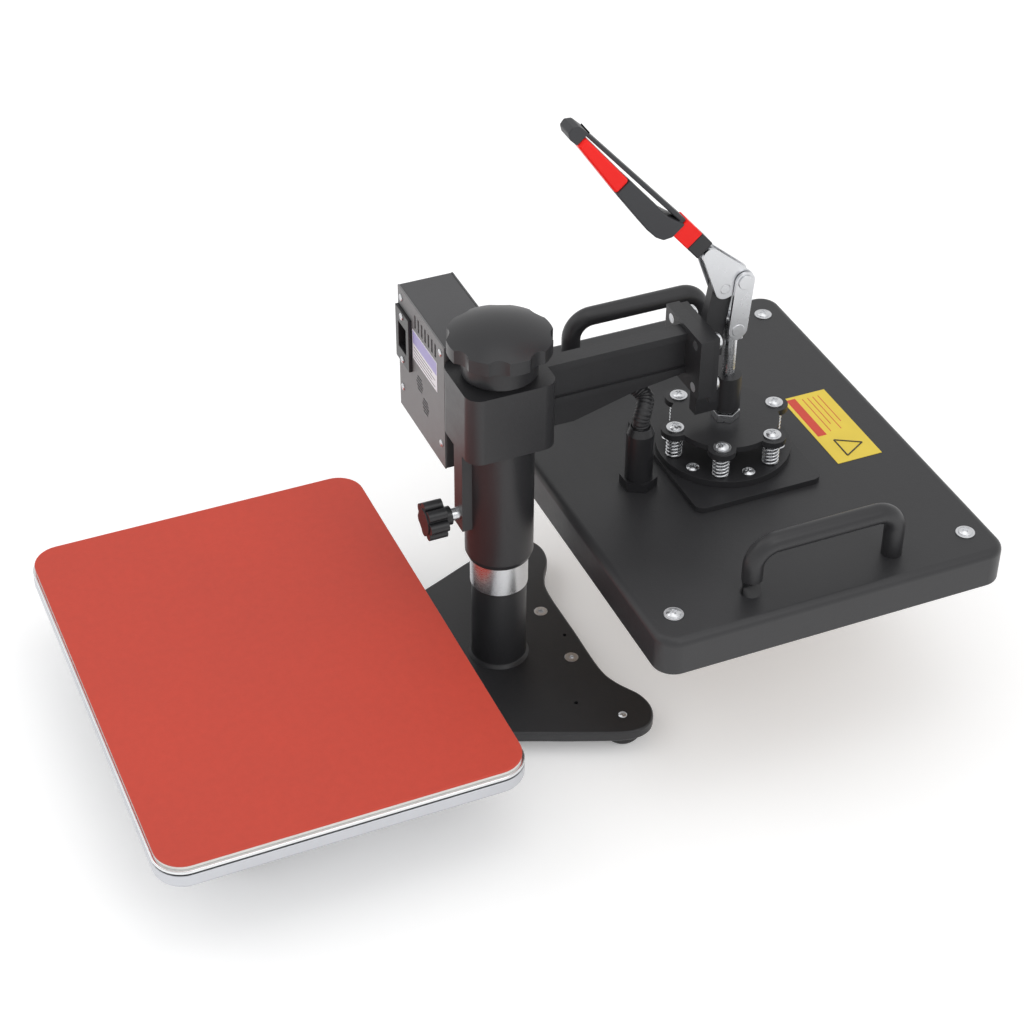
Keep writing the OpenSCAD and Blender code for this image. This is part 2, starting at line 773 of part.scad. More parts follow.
module spring_disc() color([0.11, 0.11, 0.12]) {
    difference() {
        translate([0, arm_reach, disc_low_z]) cylinder(r = disc_r, h = disc_t, $fn = 96);
        at_springs() translate([0, 0, disc_low_z - 1]) cylinder(r = spring_screw_r, h = disc_t + 2);
        at_disc_screws() translate([0, 0, disc_low_z - 1]) cylinder(r = 3, h = disc_t + 2);
    }
}

module mount_plate() color([0.11, 0.11, 0.12]) {
    difference() {
        translate([0, arm_reach, cover_top_z])
            rounded_block(2 * disc_r + 24, 2 * disc_r + 2, mount_plate_t, 8);
        at_disc_screws() translate([0, 0, cover_top_z - 1]) cylinder(r = 3, h = mount_plate_t + 2);
    }
}

// ---- upper platen ----

module at_disc_screws() {
    for (i = [0:spring_count - 1])
        translate([0, arm_reach, 0]) rotate((i + 0.5) * 360 / spring_count + 90)
            translate([spring_pcd_r, 0, 0]) children();
}

module at_cover_screws() {
    for (sx = [-1, 1], sy = [-1, 1])
        translate([sx * (cover_w / 2 - cover_screw_inset),
            arm_reach + sy * (cover_d / 2 - cover_screw_inset + 7), 0]) children();
}

module at_handle_legs() {
    for (sx = [-1, 1], sy = [-1, 1])
        translate([sx * handle_x, arm_reach + sy * handle_len / 2, 0]) children();
}

module platen_cover() color([0.15, 0.15, 0.16]) {
    difference() {
        translate([0, arm_reach, cover_low_z]) {
            rounded_block(cover_w, cover_d, cover_h - 3, 16);
            rounded_block(cover_w - 6, cover_d - 6, cover_h, 13);
        }
        translate([0, arm_reach, cover_low_z - 1])
            rounded_block(cover_w - 2 * cover_t, cover_d - 2 * cover_t, cover_h - cover_t - 3, 14);
        translate([0, arm_reach, cover_low_z - 1])
            rounded_block(cover_w - 2 * cover_t - 6, cover_d - 2 * cover_t - 6,
                cover_h - cover_t + 1, 11);
        at_cover_screws() cylinder(r = 3, h = cover_top_z + 1);
        at_disc_screws() cylinder(r = 3, h = cover_top_z + 1);
        at_handle_legs() cylinder(r = 3, h = cover_top_z + 1);
        translate([gland_at[0], gland_at[1], 0]) cylinder(r = 7, h = cover_top_z + 1);
    }
}

module heater_block() color([0.70, 0.70, 0.72]) {
    w = cover_w - 2 * heater_inset;
    d = cover_d - 2 * heater_inset;
    translate([0, arm_reach, heater_base_z]) {
        rounded_block(w, d, heater_base_t, 12);
        translate([0, 0, heater_base_t - 0.1]) difference() {
            rounded_block(w - 60, d - 60, 5.1, 30);
            translate([0, 0, -1]) rounded_block(w - 84, d - 84, 8, 18);
        }
    }
}

module insulation() color([0.90, 0.88, 0.80]) {
    difference() {
        translate([0, arm_reach, heater_base_z + heater_base_t + 5.1])
            rounded_block(cover_w - 24, cover_d - 24, 6, 8);
        translate([gland_at[0], gland_at[1], 0]) cylinder(r = 8, h = cover_top_z);
        at_cover_screws() cylinder(r = 4, h = cover_top_z);
        at_disc_screws() cylinder(r = 4, h = cover_top_z);
        at_handle_legs() cylinder(r = 7, h = cover_top_z);
    }
}

module nonstick_face() color([0.30, 0.26, 0.22]) {
    translate([0, arm_reach, heater_base_z - face_t])
        rounded_block(cover_w - 2 * heater_inset, cover_d - 2 * heater_inset, face_t, 12);
}

module platen_screws() color([0.80, 0.81, 0.82]) {
    at_cover_screws() {
        translate([0, 0, cover_top_z]) ring(7.5, 3, 1);
        translate([0, 0, cover_top_z + 1])
            pan_screw(5.5, 2.6, 3, cover_top_z + 1 - heater_base_z - heater_base_t);
    }
    at_disc_screws() translate([0, 0, disc_top_z])
        pan_screw(5.2, 2.4, 3, disc_t + mount_plate_t + 6);
}

module handles() color([0.10, 0.10, 0.11]) {
    bend_r = 18;
    leg = handle_rise - bend_r;
    span = handle_len - 2 * bend_r;
    for (sx = [-1, 1])
        translate([sx * handle_x, arm_reach, cover_top_z]) {
            for (sy = [-1, 1])
                translate([0, sy * handle_len / 2, 0]) {
                    cylinder(r = handle_r, h = leg);
                    translate([0, 0, -10]) cylinder(r = 3, h = 10.5);
                    translate([0, -sy * bend_r, leg]) rotate([90, 0, sy * 90])
                        rotate_extrude(angle = 90) translate([bend_r, 0]) circle(r = handle_r);
                }
            translate([0, span / 2, handle_rise]) rotate([90, 0, 0]) cylinder(r = handle_r, h = span);
        }
}

module cable_gland() color([0.09, 0.09, 0.10]) {
    translate([gland_at[0], gland_at[1], cover_top_z]) difference() {
        union() {
            hex_prism(26, 8);
            cylinder(r = gland_r, h = gland_h - 6);
            translate([0, 0, gland_h - 6.1]) cylinder(r1 = gland_r, r2 = gland_r - 2.5, h = 6.1);
        }
        translate([0, 0, -1]) cylinder(r = cable_r + 0.6, h = gland_h + 2);
    }
}

module warning_label() color([0.88, 0.80, 0.27]) {
    translate([-45, arm_reach + 78, cover_top_z]) cube([95, 40, label_t]);
}

// ---- control box ----

module box_shell() color([0.20, 0.20, 0.21]) {
    inner_d = box_d - 2 * box_t;
    difference() {
        translate([box_near_x - box_w, box_back_y + box_t, box_low_z])
            cube([box_w, inner_d, box_h]);
        translate([box_near_x - box_w + box_t, box_back_y, box_low_z + box_t])
            cube([box_w - 2 * box_t, box_d, box_h - 2 * box_t]);
    }
}

module at_box_corners() {
    for (x = [box_near_x - 7, box_near_x - box_w + 7], z = [box_low_z + 20, box_low_z + box_h - 8])
        translate([x, 0, z]) children();
}

module at_inlet_screws() {
    for (s = [-1, 1])
        translate([inlet_at[0], box_back_y, inlet_at[1] + s * inlet_screw_gap / 2]) children();
}

module box_back_panel() color([0.42, 0.42, 0.43]) {
    difference() {
        translate([box_near_x - box_w, box_back_y, box_low_z]) cube([box_w, box_t, box_h]);
        translate([inlet_at[0] - 10.5, box_back_y - 1, inlet_at[1] - 13.5])
            cube([21, box_t + 2, 27]);
        at_inlet_screws() translate([0, -1, 0]) rotate([-90, 0, 0])
            cylinder(r = 1.6, h = box_t + 2);
        for (i = [0:6])
            translate([box_near_x - 19 - i * 7, box_back_y - 1, box_low_z + 93])
                cube([3, box_t + 2, 12]);
        for (at = [[box_near_x - 52, box_low_z + 46], [box_near_x - 40, box_low_z + 32]])
            for (k = [-2:2])
                translate([at[0] - 7 + abs(k) * 1.2, box_back_y - 1, at[1] + k * 2.8 - 0.8])
                    cube([14 - abs(k) * 2.4, box_t + 2, 1.6]);
        at_box_corners() translate([0, box_back_y - 1, 0]) rotate([-90, 0, 0])
            cylinder(r = 1.6, h = box_t + 2);
    }
}

module box_front_panel() color([0.16, 0.16, 0.17]) {
    difference() {
        translate([box_near_x - box_w, box_front_y - box_t, box_low_z]) cube([box_w, box_t, box_h]);
        translate([box_mid_x - 25, box_front_y - box_t - 1, display_z - 11]) cube([50, box_t + 2, 22]);
        for (i = [-1.5:1:1.5])
            translate([box_mid_x + i * button_gap, box_front_y - box_t - 1, button_z])
                rotate([-90, 0, 0]) cylinder(r = button_r + slip_gap, h = box_t + 2);
        translate([rocker_at[0] - 13, box_front_y - box_t - 1, rocker_at[1] - 9])
            cube([26, box_t + 2, 18]);
        translate([cable_out[0], box_front_y - box_t - 1, cable_out[2]]) rotate([-90, 0, 0])
            cylinder(r = cable_r + 0.5, h = box_t + 2);
        at_box_corners() translate([0, box_front_y - box_t - 1, 0]) rotate([-90, 0, 0])
            cylinder(r = 1.6, h = box_t + 2);
    }
}

module box_screws() color([0.75, 0.75, 0.77]) {
    at_box_corners() {
        translate([0, box_back_y, 0]) rotate([90, 0, 0]) pan_screw(3, 1.6, 1.6, 6);
        translate([0, box_front_y, 0]) rotate([-90, 0, 0]) pan_screw(3, 1.6, 1.6, 6);
    }
    at_inlet_screws() translate([0, -3, 0]) rotate([90, 0, 0]) pan_screw(3, 1.6, 1.6, 7);
}

// Three-pin mains inlet, upright, its pins set back in the socket
module power_inlet() color([0.06, 0.06, 0.07]) {
    translate([inlet_at[0], box_back_y, inlet_at[1]]) {
        difference() {
            union() {
                translate([-14, -3, -24]) cube([28, 3, 48]);
                translate([-10.5, -1, -13.5]) cube([21, 22, 27]);
            }
            translate([-8, -4, -11.5]) cube([16, 22, 23]);
            for (s = [-1, 1])
                translate([0, -4, s * inlet_screw_gap / 2]) rotate([-90, 0, 0])
                    cylinder(r = 1.6, h = 5);
        }
        for (i = [-1:1])
            translate([(i == 0 ? 2 : -2) - 1, 2, i * 7 - 2]) cube([2, 17, 4]);
    }
}

module display_window() color([0.25, 0.05, 0.05, 0.9]) {
    translate([box_mid_x - 25, box_front_y - box_t - 3, display_z - 11]) cube([50, box_t + 3.4, 22]);
}

// Control board on its stand-offs, with display, key switches, relay and transformer
module circuit_board() color([0.10, 0.35, 0.18]) {
    board_y = box_front_y - 15;
    board_t = 1.6;
    front_y = board_y + board_t;
    translate([box_mid_x - 38, board_y, box_low_z + 40]) cube([76, board_t, 64]);
    translate([box_mid_x - 26, front_y - 0.1, display_z - 12]) cube([52, 6, 24]);
    translate([box_mid_x + 14, board_y - 12, box_low_z + 46]) cube([16, 12.1, 20]);
    translate([box_mid_x - 8, board_y - 14, box_low_z + 48]) cube([18, 14.1, 22]);
    for (i = [-1.5:1:1.5])
        translate([box_mid_x + i * button_gap - 3, front_y - 0.1, button_z - 3])
            cube([6, box_front_y - box_t - 4 - button_travel - front_y, 6]);
    for (x = [-34, 34], z = [44, 100])
        translate([box_mid_x + x, front_y - 0.1, box_low_z + z]) rotate([-90, 0, 0])
            cylinder(r = 2.5, h = box_front_y - box_t - front_y + 0.1);
}

module rating_label() color([0.85, 0.84, 0.90]) {
    translate([box_near_x - box_w + 31, box_back_y - label_t, box_low_z + 63])
        cube([box_w - 45, label_t, 27]);
}

module switch_housing() color([0.06, 0.06, 0.07]) {
    translate([rocker_at[0], box_front_y, rocker_at[1]]) difference() {
        union() {
            translate([-15, 0, -11]) cube([30, 1.5, 22]);
            translate([-13, -20, -9]) cube([26, 20.1, 18]);
        }
        translate([-10.5, -12, -7]) cube([21, 16, 14]);
    }
}

module rocker() color([0.80, 0.10, 0.08]) {
    translate([rocker_at[0], box_front_y - 4, rocker_at[1] - 6.5])
        union() {
            linear_extrude(13) rotate(rocker_tilt)
                polygon([[-9, 2.5], [-9, 6], [0, 4.6], [9, 6], [9, 2.5], [3, -4], [-3, -4]]);
            translate([0, 0, -0.4]) cylinder(r = 2, h = 13.8);
        }
}

module panel_button(i) {
    translate([box_mid_x + i * button_gap, box_front_y - box_t - 4, button_z])
        rotate([-90, 0, 0]) cylinder(r = button_r, h = box_t + 6);
}

module set_button() color([0.80, 0.80, 0.78]) {
    panel_button(-1.5);
}

module shift_button() color([0.80, 0.80, 0.78]) {
    panel_button(-0.5);
}

module up_button() color([0.80, 0.80, 0.78]) {
    panel_button(0.5);
}

module down_button() color([0.80, 0.80, 0.78]) {
    panel_button(1.5);
}

// ---- heater cable ----

function route_point(i) = cable_route[max(0, min(len(cable_route) - 1, i))];

module heater_cable() color([0.10, 0.10, 0.10]) {
    steps = 5;
    line = [for (i = [0:len(cable_route) - 2], k = [0:steps - 1])
            curve_at(route_point(i - 1), route_point(i), route_point(i + 1), route_point(i + 2),
                k / steps),
        cable_route[len(cable_route) - 1]];
    n = len(line);
    points = [for (i = [0:n - 1])
        let (dir = unit(line[min(n - 1, i + 1)] - line[max(0, i - 1)]),
            u = unit(cross(dir, [1, 0.2, 0])), v = cross(dir, u))
        each ring_points(line[i], u, v, cable_r, 10)];
    polyhedron(points, [for (f = tube_faces(n, 10)) [for (k = [len(f) - 1:-1:0]) f[k]]]);
}

// ---- the part ----

framed() base_plate();
framed() rubber_feet();
framed() foot_screws();
framed() base_screws();
framed() post_flange();
framed() post_tube();
framed() journal_sleeve();
framed() screw_nut();
framed() tray_stand();
framed() platen_tray();
framed() foam_layer();
framed() silicone_pad();
framed() thrust_washer();
framed() arm_casting();
framed() arm_bushes();
framed() clamp_frame();
framed() clamp_bolts();
framed() fulcrum_pin();
framed() box_shell();
framed() box_back_panel();
framed() box_front_panel();
framed() box_screws();
framed() power_inlet();
framed() display_window();
framed() circuit_board();
framed() switch_housing();
framed() rating_label();
framed() heater_cable();
framed() rocker();
framed() set_button();
framed() shift_button();
framed() up_button();
framed() down_button();
framed() pressure_knob();
framed() lead_screw();
framed() lock_pad();
framed() lock_screw();
framed() lock_knob();
framed() lever_bar();
framed() lever_ferrule();
framed() lever_collar();
framed() grip_body();
framed() grip_shell();
framed() link_plates();
framed() link_pin();
framed() plunger_rod();
framed() plunger_nuts();
framed() star_plate();
framed() platen_springs();
framed() spring_screws();
framed() spring_disc();
framed() mount_plate();
framed() platen_cover();
framed() heater_block();
framed() insulation();
framed() nonstick_face();
framed() platen_screws();
framed() handles();
framed() cable_gland();
framed() warning_label();
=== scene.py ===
import json
import math

import bmesh
import bpy
from mathutils import Matrix, Vector


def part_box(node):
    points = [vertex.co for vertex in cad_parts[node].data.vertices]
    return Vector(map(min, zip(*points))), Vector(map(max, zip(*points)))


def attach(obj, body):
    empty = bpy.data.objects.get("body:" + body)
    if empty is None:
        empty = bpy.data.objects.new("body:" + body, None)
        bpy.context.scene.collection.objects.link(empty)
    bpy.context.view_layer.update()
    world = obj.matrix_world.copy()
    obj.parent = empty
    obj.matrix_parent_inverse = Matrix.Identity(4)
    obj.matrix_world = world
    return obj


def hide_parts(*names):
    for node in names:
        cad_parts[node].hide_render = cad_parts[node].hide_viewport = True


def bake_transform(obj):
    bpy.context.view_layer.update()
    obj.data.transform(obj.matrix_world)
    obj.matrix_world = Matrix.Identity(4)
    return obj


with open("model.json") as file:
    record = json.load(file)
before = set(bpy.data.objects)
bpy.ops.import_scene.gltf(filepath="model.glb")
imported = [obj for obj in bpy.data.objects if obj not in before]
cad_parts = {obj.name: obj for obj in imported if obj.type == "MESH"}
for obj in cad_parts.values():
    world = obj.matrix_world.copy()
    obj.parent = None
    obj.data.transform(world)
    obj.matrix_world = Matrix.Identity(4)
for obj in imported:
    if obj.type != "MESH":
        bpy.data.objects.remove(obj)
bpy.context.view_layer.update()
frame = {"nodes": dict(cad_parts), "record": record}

MM = 0.001
NODES = frame["nodes"]
BODY_OF = {n: b for b, ns in frame["record"]["behaviour"]["bodies"].items() for n in ns}
SLOT_OF = {s["node"]: s["material_slot"] for s in frame["record"]["subparts"]}
COLUMN_Y = -2.5   # the column's axis, in mm, along the frame's Y
PLATEN_REACH = 194   # from the column's axis to the middle of either platen, in mm
SPRING_COUNT = 6
SPRING_PCD_RADIUS = 44   # circle through the springs' axes, in mm


# ---------------------------------------------------------------- shader maths

class Value:
    """A shader output that takes part in ordinary arithmetic."""

    def __init__(self, finish, socket):
        self.finish = finish
        self.socket = socket

    def math(self, operation, a, b=0.0):
        return self.finish.add("ShaderNodeMath", {"operation": operation}, {0: a, 1: b})

    def __add__(self, other):
        return self.math("ADD", self, other)

    def __mul__(self, other):
        return self.math("MULTIPLY", self, other)

    __radd__ = __add__
    __rmul__ = __mul__


class Finish:
    """One surface finish: a material and the calls that build its nodes."""

    def __init__(self, name, color, rough, metal=0.0, **constants):
        self.material = bpy.data.materials.new(name)
        self.material.use_nodes = True
        self.tree = self.material.node_tree
        self.tree.nodes.clear()
        self.shader = self.tree.nodes.new("ShaderNodeBsdfPrincipled")
        out = self.tree.nodes.new("ShaderNodeOutputMaterial")
        self.tree.links.new(self.shader.outputs[0], out.inputs[0])
        self.material.diffuse_color = (*color, 1)
        self.color = color
        self.rough = rough
        self.set("Base Color", (*color, 1))
        self.set("Roughness", rough)
        self.set("Metallic", metal)
        for socket, value in constants.items():
            self.set(socket.replace("_", " "), value)
        self.height = None
        self.coords = self.add("ShaderNodeTexCoord", out="Object")

    def add(self, kind, settings=None, inputs=None, out=0):
        node = self.tree.nodes.new(kind)
        for key, value in (settings or {}).items():
            if key == "stops":
                ramp = node.color_ramp.elements
                while len(ramp) < len(value):
                    ramp.new(0.5)
                for element, (place, shade) in zip(ramp, value):
                    element.position = place
                    element.color = (shade, shade, shade, 1)
            else:
                setattr(node, key, value)
        for key, value in (inputs or {}).items():
            self.plug(node.inputs[key], value)
        return Value(self, node.outputs[out])

    def plug(self, socket, value):
        if isinstance(value, Value):
            self.tree.links.new(value.socket, socket)
        else:
            socket.default_value = value

    def set(self, socket, value):
        self.plug(self.shader.inputs[socket], value)

    def stretched(self, scale, turn=(0, 0, 0)):
        return self.add("ShaderNodeMapping", None,
                        {"Vector": self.coords, "Scale": scale, "Rotation": turn})

    def noise(self, scale, detail=3.0, rough=0.5, coords=None):
        return self.add("ShaderNodeTexNoise", None, {
            "Vector": coords or self.coords, "Scale": scale, "Detail": detail,
            "Roughness": rough})

    def cells(self, scale, feature="F1", coords=None):
        return self.add("ShaderNodeTexVoronoi", {"feature": feature},
                        {"Vector": coords or self.coords, "Scale": scale}, "Distance")

    def ramp(self, value, stops):
        return self.add("ShaderNodeValToRGB", {"stops": stops}, {0: value})

    def blend(self, factor, first, second):
        return self.add("ShaderNodeMix", {"data_type": "RGBA"},
                        {0: factor, 6: (*first, 1) if len(first) == 3 else first,
                         7: (*second, 1)}, 2)

    def blend_over(self, factor, under, second):
        return self.add("ShaderNodeMix", {"data_type": "RGBA"},
                        {0: factor, 6: under, 7: (*second, 1)}, 2)

    def tone(self, factor, darker, lighter):
        """Base colour that varies between a darker and a lighter shade of the finish."""
        dark = [c * darker for c in self.color]
        light = [min(1.0, c * lighter) for c in self.color]
        mixed = self.blend(factor, dark, light)
        self.set("Base Color", mixed)
        return mixed

    def roughen(self, factor, spread):
        self.set("Roughness", factor * (2 * spread) + (self.rough - spread))

    def bump(self, height, distance, strength=1.0):
        normal = self.add("ShaderNodeBump", None, {
            "Height": height, "Distance": distance * MM, "Strength": strength}, "Normal")
        self.set("Normal", normal)


def satin_paint(name, color, rough=0.38, grain=900, depth=0.05, **constants):
    """Sprayed or powder coated metal: soft orange peel, cloudy gloss and a little dust."""
    f = Finish(name, color, rough, **constants)
    cloud = f.noise(14, 4)
    fine = f.noise(grain, 2)
    f.tone(cloud * 0.7 + fine * 0.3, 0.82, 1.22)
    f.roughen(cloud * 0.6 + f.noise(120, 3) * 0.4, 0.10)
    f.bump(fine + f.noise(grain * 0.3, 2) * 0.6, depth)
    return f


def bare_metal(name, color, rough, stretch=(1, 1, 1), scratch=0.012):
    """Plated or ground metal: fine scratches along one direction and cloudy tarnish."""
    f = Finish(name, color, rough, 1.0)
    lines = f.noise(260, 4, 0.6, f.stretched(stretch))
    cloud = f.noise(30, 3)
    f.tone(cloud * 0.6 + lines * 0.4, 0.84, 1.08)
    f.roughen(lines * 0.6 + cloud * 0.4, min(rough * 0.6, 0.14))
    f.bump(lines, scratch)
    return f


def moulded(name, color, rough, grain=1400, depth=0.02, **constants):
    """Moulded plastic: an even spark-eroded grain with slightly polished high spots."""
    f = Finish(name, color, rough, **constants)
    fine = f.noise(grain, 2)
    cloud = f.noise(24, 3)
    f.tone(cloud, 0.88, 1.14)
    f.roughen(cloud * 0.5 + fine * 0.5, 0.07)
    f.bump(fine, depth)
    return f


def silicone_sponge():
    f = Finish("silicone_sponge", (0.57, 0.052, 0.027), 0.62, Sheen_Weight=0.05,
               Sheen_Roughness=0.45)
    pores = f.cells(520)
    cloud = f.noise(9, 5, 0.6)
    mixed = f.tone(cloud * 0.55 + f.noise(140, 3) * 0.45, 0.86, 1.14)
    # The pore centres are painted a darker red: painted shade inside the pores.
    f.set("Base Color", f.blend_over(f.ramp(pores, [(0.0, 0.35), (0.16, 0.0)]), mixed,
                                     (0.42, 0.05, 0.03)))
    f.roughen(cloud * 0.5 + f.noise(420, 2) * 0.5, 0.09)
    f.bump(f.ramp(pores, [(0.0, 0.0), (0.22, 1.0)]) * 0.4 + f.noise(750, 3), 0.10)
    return f


def felt_foam():
    f = Finish("felt_foam", (0.86, 0.85, 0.81), 0.85, Sheen_Weight=0.3)
    fibres = f.noise(900, 4, 0.7)
    f.tone(fibres * 0.6 + f.noise(60, 3) * 0.4, 0.82, 1.08)
    f.roughen(fibres, 0.06)
    f.bump(fibres + f.cells(700) * 0.5, 0.14)
    return f


def moulded_rubber():
    f = Finish("moulded_rubber", (0.018, 0.018, 0.019), 0.62)
    fine = f.noise(800, 3)
    f.tone(f.noise(40, 3), 0.8, 1.5)
    f.roughen(fine, 0.10)
    f.bump(fine, 0.04)
    return f


def wool_board():
    f = Finish("wool_board", (0.80, 0.77, 0.66), 0.9)
    fibres = f.noise(500, 5, 0.7, f.stretched((1, 1, 4)))
    f.tone(fibres, 0.78, 1.1)
    f.bump(fibres, 0.3)
    f.roughen(fibres, 0.05)
    return f


def coated_cloth():
    """Glass cloth with a brown non-stick coat: a fine square weave."""
    f = Finish("coated_cloth", (0.20, 0.13, 0.075), 0.42, Coat_Weight=0.15)
    warp = f.add("ShaderNodeTexWave", {"bands_direction": "X"},
                 {"Vector": f.coords, "Scale": 260.0})
    weft = f.add("ShaderNodeTexWave", {"bands_direction": "Y"},
                 {"Vector": f.coords, "Scale": 260.0})
    weave = warp * weft
    f.tone(weave * 0.5 + f.noise(12, 4) * 0.5, 0.75, 1.25)
    f.roughen(f.noise(30, 3), 0.08)
    f.bump(weave, 0.06)
    return f


def tinted_window():
    f = Finish("tinted_window", (0.06, 0.008, 0.008), 0.08, Coat_Weight=0.6,
               Coat_Roughness=0.04)
    cloud = f.noise(40, 3)
    f.tone(cloud, 0.8, 1.3)
    f.roughen(cloud, 0.03)
    f.bump(cloud, 0.01)
    return f


def board_laminate():
    f = Finish("board_laminate", (0.02, 0.16, 0.06), 0.35)
    tracks = f.add("ShaderNodeTexBrick", None, {"Vector": f.stretched((1, 1, 1), (1.5708, 0, 0)),
                   "Scale": 90.0, "Mortar Size": 0.03}, "Fac")
    f.set("Base Color", f.blend(tracks, (0.02, 0.16, 0.06), (0.05, 0.30, 0.12)))
    f.roughen(f.noise(90, 2), 0.08)
    f.bump(tracks, 0.05)
    return f


FINISHES = {
    "painted_cast": satin_paint("cast_arm_paint", (0.024, 0.024, 0.026), 0.38, 520, 0.08),
    "painted_steel": satin_paint("black_powder_coat", (0.021, 0.021, 0.023), 0.40, 800, 0.07),
    "box_grey": satin_paint("box_powder_coat", (0.062, 0.062, 0.065), 0.42, 1100, 0.05),
    "panel_grey": satin_paint("panel_powder_coat", (0.16, 0.16, 0.163), 0.45, 1300, 0.04),
    "zinc": bare_metal("zinc_plate", (0.74, 0.75, 0.77), 0.30, (1, 1, 1), 0.003),
    "bright_steel": bare_metal("ground_steel", (0.76, 0.77, 0.79), 0.26, (1, 1, 14), 0.004),
    "tray_aluminium": bare_metal("satin_tray", (0.62, 0.63, 0.66), 0.38, (1, 1, 9), 0.006),
    "cast_aluminium": bare_metal("milled_casting", (0.62, 0.62, 0.63), 0.42, (5, 1, 1), 0.02),
    "bronze": bare_metal("sintered_bronze", (0.58, 0.38, 0.18), 0.40),
    "brass": bare_metal("turned_brass", (0.78, 0.58, 0.24), 0.25, (1, 1, 10)),
    "black_plastic": moulded("black_knob_plastic", (0.017, 0.017, 0.019), 0.34, 1100, 0.03),
    "grip_grey": moulded("soft_grip", (0.030, 0.031, 0.035), 0.46, 900, 0.04),
    "grip_red": moulded("red_grip_shell", (0.95, 0.014, 0.010), 0.30, 1500, 0.01,
                        Specular_IOR_Level=0.22),
    "button_plastic": moulded("key_plastic", (0.62, 0.62, 0.60), 0.35),
    "display_glass": tinted_window(),
    "circuit": board_laminate(),
    "silicone": silicone_sponge(),
    "foam": felt_foam(),
    "black_rubber": moulded_rubber(),
    "insulating_wool": wool_board(),
    "nonstick": coated_cloth(),
    "cable_jacket": moulded("conduit_plastic", (0.020, 0.020, 0.022), 0.42, 700, 0.03),
    "label_yellow": moulded("label_film_yellow", (0.80, 0.60, 0.06), 0.38, 2000, 0.006),
    "label_white": moulded("label_film_white", (0.74, 0.74, 0.78), 0.38, 2000, 0.006),
}
COVER_COAT = satin_paint("cover_powder_coat", (0.026, 0.026, 0.028), 0.42, 700, 0.07)
LABEL_RED = moulded("label_ink_red", (0.62, 0.055, 0.03), 0.40, 2000, 0.006)
LABEL_DARK = moulded("label_ink_dark", (0.04, 0.035, 0.03), 0.42, 2000, 0.006)
LABEL_VIOLET = moulded("label_ink_violet", (0.36, 0.33, 0.62), 0.38, 2000, 0.006)
# Near-black finish for the tray's inset groove band: painted shade in the groove.
GROOVE_PAINTED_SHADE = moulded("groove_shadow_paint", (0.012, 0.012, 0.012), 0.6, 900, 0.02)
LIP_BRIGHT = bare_metal("polished_lip", (0.84, 0.85, 0.86), 0.16, (1, 1, 6), 0.004)


# ---------------------------------------------------------------- mesh helpers

def finish_piece(name, bm, material, nodes=(), sharp=34, weighted=True):
    """Turns a bmesh into a piece that stands for CAD nodes and rides on their body."""
    bmesh.ops.remove_doubles(bm, verts=bm.verts, dist=1e-6)
    mesh = bpy.data.meshes.new(name)
    bm.to_mesh(mesh)
    bm.free()
    mesh.shade_smooth()
    mesh.set_sharp_from_angle(angle=math.radians(sharp))
    piece = bpy.data.objects.new(name, mesh)
    bpy.context.scene.collection.objects.link(piece)
    for finish in material if isinstance(material, (list, tuple)) else [material]:
        mesh.materials.append(finish.material)
    if weighted:
        flat = piece.modifiers.new("even_faces", "WEIGHTED_NORMAL")
        flat.keep_sharp = True
        flat.weight = 80
    if nodes:
        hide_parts(*nodes)
        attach(piece, BODY_OF[nodes[0]])
    return piece


def copy_of(node):
    """A CAD node's mesh as a new bmesh, with its flat faces joined up."""
    bm = bmesh.new()
    bm.from_mesh(NODES[node].data)
    bmesh.ops.remove_doubles(bm, verts=bm.verts, dist=2e-6)
    bmesh.ops.dissolve_limit(bm, angle_limit=math.radians(0.6), use_dissolve_boundaries=False,
                             verts=bm.verts, edges=bm.edges)
    return bm


def crease_edges(bm, least=28, pick=None):
    """Edges sharper than least degrees that pick, when given, also accepts."""
    return [e for e in bm.edges if len(e.link_faces) == 2
            and math.degrees(e.calc_face_angle(0)) > least and (pick is None or pick(e))]


def round_edges(bm, edges, width, segments=3):
    bmesh.ops.bevel(bm, geom=edges, offset=width * MM, offset_type="OFFSET", affect="EDGES",
                    segments=segments, profile=0.5, material=-1, clamp_overlap=True)


def eased(node, width=0.5, segments=3, least=28, name=None, finish=None, pick=None):
    """A CAD node's own shape with its sharp edges rounded over."""
    bm = copy_of(node)
    round_edges(bm, crease_edges(bm, least, pick), width, segments)
    return finish_piece(name or node + "_eased", bm, finish or FINISHES[SLOT_OF[node]], (node,))


def rounded_slab(bm, size, corner, z, centre=(0, 0), top=1.0, bottom=0.5, segments=5, index=0):
    """Plate with round upright corners and eased top and bottom edges, all in mm."""
    made = bmesh.ops.create_grid(bm, x_segments=1, y_segments=1, size=0.5)
    verts = made["verts"]
    bmesh.ops.scale(bm, vec=(size[0] * MM, size[1] * MM, 1), verts=verts)
    bmesh.ops.translate(bm, vec=(centre[0] * MM, centre[1] * MM, z[0] * MM), verts=verts)
    face = verts[0].link_faces[0]
    bmesh.ops.bevel(bm, geom=list(face.verts), offset=corner * MM, offset_type="OFFSET",
                    affect="VERTICES", segments=10, profile=0.5, material=-1)
    low = [f for f in bm.faces if not any(len(e.link_faces) > 1 for e in f.edges)][-1]
    made = bmesh.ops.extrude_face_region(bm, geom=[low], use_keep_orig=True)
    lifted = [g for g in made["geom"] if isinstance(g, bmesh.types.BMVert)]
    high = [g for g in made["geom"] if isinstance(g, bmesh.types.BMFace)][0]
    bmesh.ops.translate(bm, vec=(0, 0, (z[1] - z[0]) * MM), verts=lifted)
    sides = {f for e in high.edges for f in e.link_faces} | {low}
    for f in sides:
        f.material_index = index
    bmesh.ops.recalc_face_normals(bm, faces=list(sides))
    top_edges, low_edges = list(high.edges), list(low.edges)
    if top:
        round_edges(bm, top_edges, top, segments)
    if bottom:
        round_edges(bm, [e for e in low_edges if e.is_valid], bottom, segments)


